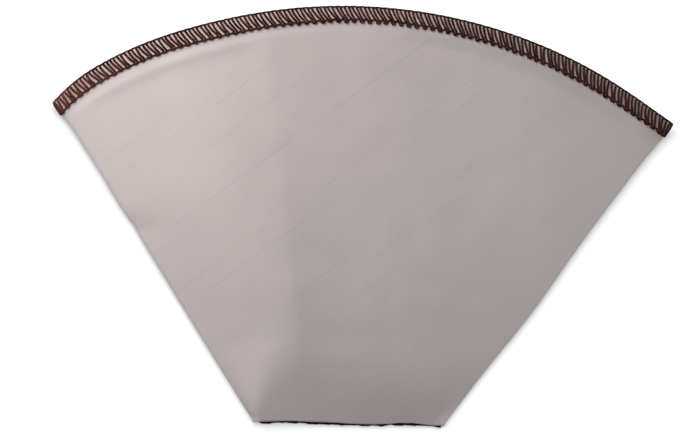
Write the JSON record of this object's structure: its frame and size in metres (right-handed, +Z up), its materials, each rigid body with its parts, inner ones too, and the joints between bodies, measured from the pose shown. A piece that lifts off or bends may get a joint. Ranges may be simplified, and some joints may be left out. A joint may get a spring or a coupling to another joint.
{
  "type": "reusable cloth coffee filter",
  "caption": "Reusable woven cloth coffee filter: a flat cone pocket lying on its back, slightly open, with a dark overlocked mouth and a stitched bottom edge.",
  "frame": {"origin": "on the table, under the middle of the closed bottom edge", "axes": "+X along the bottom edge towards the seamed side, +Y from the closed bottom edge to the mouth, +Z up from the back panel to the front panel"},
  "size_m": [0.1868, 0.1269, 0.0141],
  "materials": {
    "cloth": "fine plain weave with a soft sheen",
    "thread": "matt twisted sewing thread"
  },
  "bodies": {
    "root": {"filter_cloth": "cloth", "rim_upper_looper_thread": "thread", "rim_lower_looper_thread": "thread", "rim_needle_thread": "thread", "bottom_seam_thread": "thread", "bottom_allowance_thread": "thread", "side_allowance_thread": "thread"}
  },
  "joints": []
}
